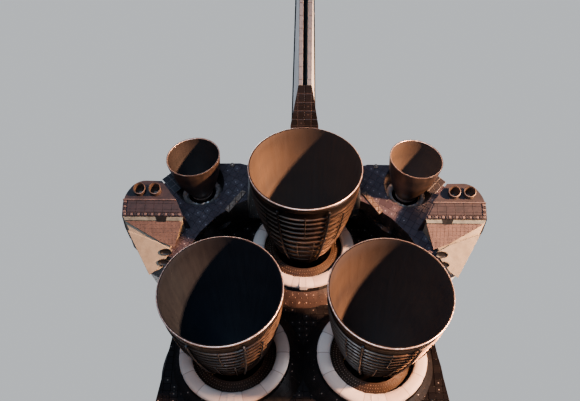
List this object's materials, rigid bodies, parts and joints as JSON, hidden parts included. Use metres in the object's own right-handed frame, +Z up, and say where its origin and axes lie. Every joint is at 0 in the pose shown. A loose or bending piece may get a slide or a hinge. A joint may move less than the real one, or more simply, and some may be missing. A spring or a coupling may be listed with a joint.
{
  "type": "space shuttle",
  "caption": "Winged space shuttle orbiter parked on its landing gear, with main and orbital engine nozzles, delta wing, split rudder fin, body flap and a payload bay under double doors.",
  "frame": {"origin": "on the floor under the middle of the length and width", "axes": "+X to the right wing tip, +Y to the nose, +Z up; the airframe stands 3 degrees nose down on its gear"},
  "size_m": [23.7896, 36.5455, 17.3112],
  "materials": {
    "white_blanket": "quilted white insulation blankets and white coated tiles",
    "dark_blanket": "black glazed insulation over a light structure",
    "black_tile": "black glazed ceramic tiles",
    "brown_tile": "heat-stained ceramic tiles",
    "grey_carbon": "reinforced carbon panels",
    "window_glass": "heat resistant window panes",
    "cabin_grey": "painted deck and seats",
    "bay_liner": "beta cloth liner",
    "pink_blanket": "stained white insulation blanket rings",
    "shield_metal": "heat-stained foil and metal shield",
    "nozzle_steel": "heat-tinted nozzle alloy",
    "gear_white": "white enamel over steel",
    "rim_metal": "bare forged aluminium",
    "tyre_rubber": "black rubber"
  },
  "bodies": {
    "airframe": {"aft_fuselage": "white_blanket", "base_heat_shield": "black_tile", "closeout_ring_1": "pink_blanket", "closeout_ring_2": "pink_blanket", "closeout_ring_3": "pink_blanket", "crew_bulkhead": "bay_liner", "flight_deck": "cabin_grey", "forward_fuselage": "white_blanket", "forward_thruster_module": "white_blanket", "left_aft_thruster_housing": "brown_tile", "left_main_gear_door": "black_tile", "left_main_strut": "gear_white", "left_nose_gear_door": "black_tile", "left_orbital_engine_pod": "white_blanket", "left_wing": "white_blanket", "left_wing_leading_edge": "grey_carbon", "mid_fuselage": "white_blanket", "nose_cap": "grey_carbon", "nose_strut": "gear_white", "right_aft_thruster_housing": "brown_tile", "right_main_gear_door": "black_tile", "right_main_strut": "gear_white", "right_nose_gear_door": "black_tile", "right_orbital_engine_pod": "white_blanket", "right_wing": "white_blanket", "right_wing_leading_edge": "grey_carbon", "vertical_stabilizer": "white_blanket", "windshield_glass": "window_glass"},
    "crew_hatch": {"crew_hatch": "white_blanket"},
    "right_payload_bay_door": {"right_payload_bay_door": "white_blanket"},
    "left_payload_bay_door": {"left_payload_bay_door": "white_blanket"},
    "right_umbilical_door": {"right_umbilical_door": "black_tile"},
    "left_umbilical_door": {"left_umbilical_door": "black_tile"},
    "body_flap": {"body_flap": "dark_blanket"},
    "right_inboard_elevon": {"right_inboard_elevon": "white_blanket"},
    "left_inboard_elevon": {"left_inboard_elevon": "white_blanket"},
    "right_outboard_elevon": {"right_outboard_elevon": "white_blanket"},
    "left_outboard_elevon": {"left_outboard_elevon": "white_blanket"},
    "right_rudder_panel": {"right_rudder_panel": "white_blanket"},
    "left_rudder_panel": {"left_rudder_panel": "white_blanket"},
    "main_engine_1": {"main_engine_1": "nozzle_steel", "engine_shield_1": "shield_metal"},
    "main_engine_2": {"main_engine_2": "nozzle_steel", "engine_shield_2": "shield_metal"},
    "main_engine_3": {"main_engine_3": "nozzle_steel", "engine_shield_3": "shield_metal"},
    "right_orbital_engine_nozzle": {"right_orbital_engine_nozzle": "nozzle_steel"},
    "left_orbital_engine_nozzle": {"left_orbital_engine_nozzle": "nozzle_steel"},
    "nose_fork": {"nose_fork": "gear_white"},
    "nose_wheels": {"nose_wheel_rims": "rim_metal", "right_nose_tyre": "tyre_rubber", "left_nose_tyre": "tyre_rubber"},
    "right_main_wheels": {"right_main_wheel_rims": "rim_metal", "right_main_outer_tyre": "tyre_rubber", "right_main_inner_tyre": "tyre_rubber"},
    "left_main_wheels": {"left_main_wheel_rims": "rim_metal", "left_main_outer_tyre": "tyre_rubber", "left_main_inner_tyre": "tyre_rubber"}
  },
  "joints": [
    {"name": "crew_hatch_hinge", "type": "hinge", "parent": "airframe", "child": "crew_hatch", "pos_m": [-2.47557, 11.28739, 3.77969], "axis": [0, -0.9986, 0.0523], "range_deg": [0, 90]},
    {"name": "right_payload_bay_door_hinge", "type": "hinge", "parent": "airframe", "child": "right_payload_bay_door", "pos_m": [2.667, 0.45257, 6.21444], "axis": [0, 0.9986, -0.0523], "range_deg": [0, 175.5]},
    {"name": "left_payload_bay_door_hinge", "type": "hinge", "parent": "airframe", "child": "left_payload_bay_door", "pos_m": [-2.667, 0.45257, 6.21444], "axis": [0, -0.9986, 0.0523], "range_deg": [0, 175.5]},
    {"name": "right_umbilical_door_hinge", "type": "hinge", "parent": "airframe", "child": "right_umbilical_door", "pos_m": [1.27254, -9.79331, 2.90056], "axis": [0, 0.9986, -0.0523], "range_deg": [0, 173]},
    {"name": "left_umbilical_door_hinge", "type": "hinge", "parent": "airframe", "child": "left_umbilical_door", "pos_m": [-1.27254, -9.79331, 2.90056], "axis": [0, -0.9986, 0.0523], "range_deg": [0, 173]},
    {"name": "body_flap_hinge", "type": "hinge", "parent": "airframe", "child": "body_flap", "pos_m": [0, -14.66167, 3.67457], "axis": [1, 0, 0], "range_deg": [-11.7, 22.55]},
    {"name": "right_inboard_elevon_hinge", "type": "hinge", "parent": "airframe", "child": "right_inboard_elevon", "pos_m": [5.62356, -10.96923, 3.75823], "axis": [0.9987, 0.0027, 0.0515], "range_deg": [-35, 20]},
    {"name": "left_inboard_elevon_hinge", "type": "hinge", "parent": "airframe", "child": "left_inboard_elevon", "pos_m": [-5.62356, -10.96923, 3.75823], "axis": [0.9987, -0.0027, -0.0515], "range_deg": [-35, 20]},
    {"name": "right_outboard_elevon_hinge", "type": "hinge", "parent": "airframe", "child": "right_outboard_elevon", "pos_m": [9.79805, -10.958, 3.97257], "axis": [0.9987, 0.0027, 0.051], "range_deg": [-35, 20]},
    {"name": "left_outboard_elevon_hinge", "type": "hinge", "parent": "airframe", "child": "left_outboard_elevon", "pos_m": [-9.79805, -10.958, 3.97257], "axis": [0.9987, -0.0027, -0.051], "range_deg": [-35, 20]},
    {"name": "right_rudder_panel_hinge", "type": "hinge", "parent": "airframe", "child": "right_rudder_panel", "pos_m": [0, -14.92475, 13.63339], "axis": [0, -0.5274, 0.8496], "range_deg": [0, 49.3]},
    {"name": "left_rudder_panel_hinge", "type": "hinge", "parent": "airframe", "child": "left_rudder_panel", "pos_m": [0, -14.92475, 13.63339], "axis": [0, 0.5274, -0.8496], "range_deg": [0, 49.3]},
    {"name": "main_engine_1_gimbal", "type": "hinge", "parent": "airframe", "child": "main_engine_1", "pos_m": [0, -12.24752, 7.51589], "axis": [1, 0, 0], "range_deg": [-10.5, 10.5]},
    {"name": "main_engine_2_gimbal", "type": "hinge", "parent": "airframe", "child": "main_engine_2", "pos_m": [-1.3462, -12.96865, 5.00104], "axis": [1, 0, 0], "range_deg": [-10.5, 10.5]},
    {"name": "main_engine_3_gimbal", "type": "hinge", "parent": "airframe", "child": "main_engine_3", "pos_m": [1.3462, -12.96865, 5.00104], "axis": [1, 0, 0], "range_deg": [-10.5, 10.5]},
    {"name": "right_orbital_engine_gimbal", "type": "hinge", "parent": "airframe", "child": "right_orbital_engine_nozzle", "pos_m": [2.2352, -14.03405, 8.85583], "axis": [1, 0, 0], "range_deg": [-6, 6]},
    {"name": "left_orbital_engine_gimbal", "type": "hinge", "parent": "airframe", "child": "left_orbital_engine_nozzle", "pos_m": [-2.2352, -14.03405, 8.85583], "axis": [1, 0, 0], "range_deg": [-6, 6]},
    {"name": "nose_steering", "type": "hinge", "parent": "airframe", "child": "nose_fork", "pos_m": [0, 14.50673, 0.66005], "axis": [0, 0.0523, 0.9986], "range_deg": [-10, 10]},
    {"name": "nose_wheels_axle", "type": "hinge", "parent": "nose_fork", "child": "nose_wheels", "pos_m": [0, 14.49344, 0.4064], "axis": [1, 0, 0], "continuous": true},
    {"name": "right_main_wheels_axle", "type": "hinge", "parent": "airframe", "child": "right_main_wheels", "pos_m": [3.4544, -5.66808, 0.56515], "axis": [1, 0, 0], "continuous": true},
    {"name": "left_main_wheels_axle", "type": "hinge", "parent": "airframe", "child": "left_main_wheels", "pos_m": [-3.4544, -5.66808, 0.56515], "axis": [1, 0, 0], "continuous": true}
  ],
  "couplings": [
    {"joint": "left_rudder_panel_hinge", "follows": "right_rudder_panel_hinge", "ratio": 1},
    {"joint": "main_engine_2_gimbal", "follows": "main_engine_1_gimbal", "ratio": 1},
    {"joint": "main_engine_3_gimbal", "follows": "main_engine_1_gimbal", "ratio": 1},
    {"joint": "left_orbital_engine_gimbal", "follows": "right_orbital_engine_gimbal", "ratio": 1}
  ]
}
